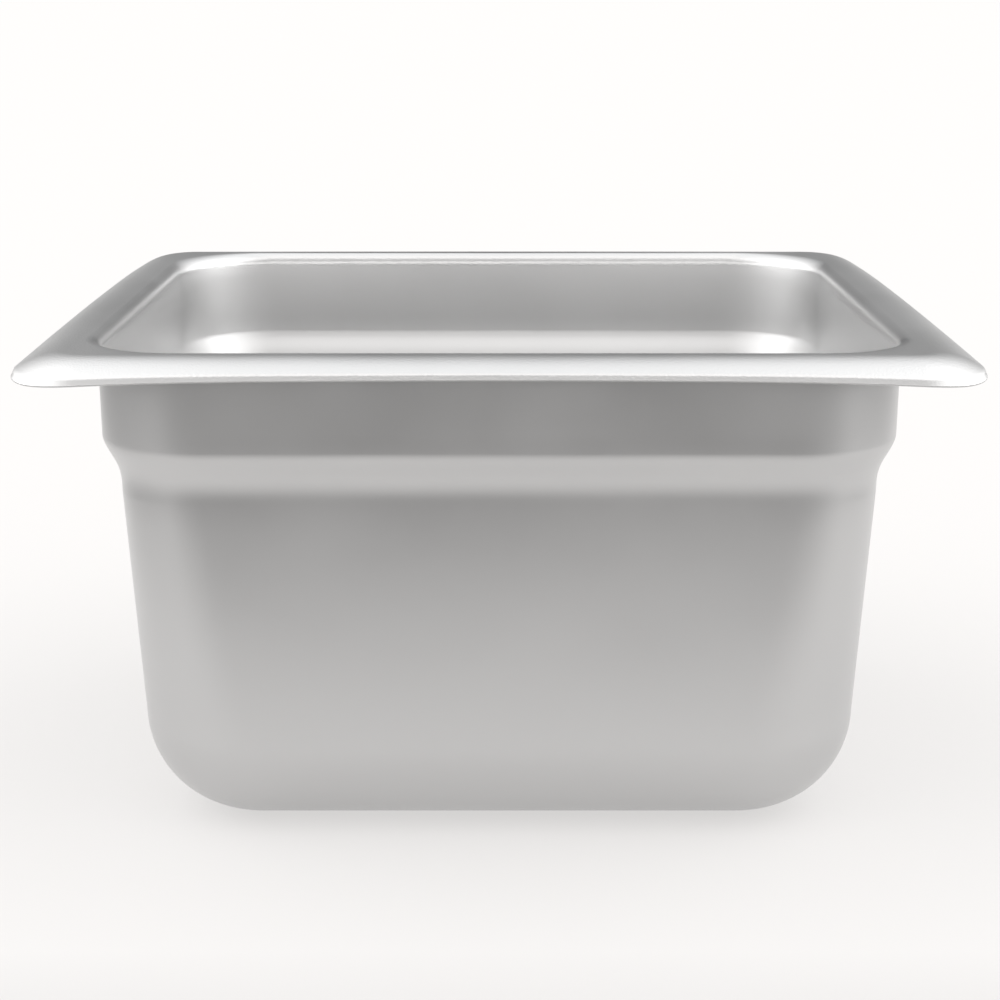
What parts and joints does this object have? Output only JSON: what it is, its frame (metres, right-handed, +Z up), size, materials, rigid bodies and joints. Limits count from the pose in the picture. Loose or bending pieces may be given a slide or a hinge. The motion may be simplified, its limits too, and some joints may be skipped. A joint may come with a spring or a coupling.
{
  "type": "food pan",
  "caption": "Deep drawn rectangular stainless food pan with rounded corners, a stacking shoulder and a flat flange with a rolled-down edge.",
  "frame": {"origin": "centre of the flat base face that the pan stands on", "axes": "+Z up through the open top, X along the longer side of the rim, Y along the shorter side, front at -Y"},
  "size_m": [0.1774, 0.162, 0.098],
  "materials": {
    "stainless_sheet": "satin drawn stainless steel, fine grain, slightly brighter on the drawn bends"
  },
  "bodies": {
    "root": {"pan_shell": "stainless_sheet"}
  },
  "joints": []
}
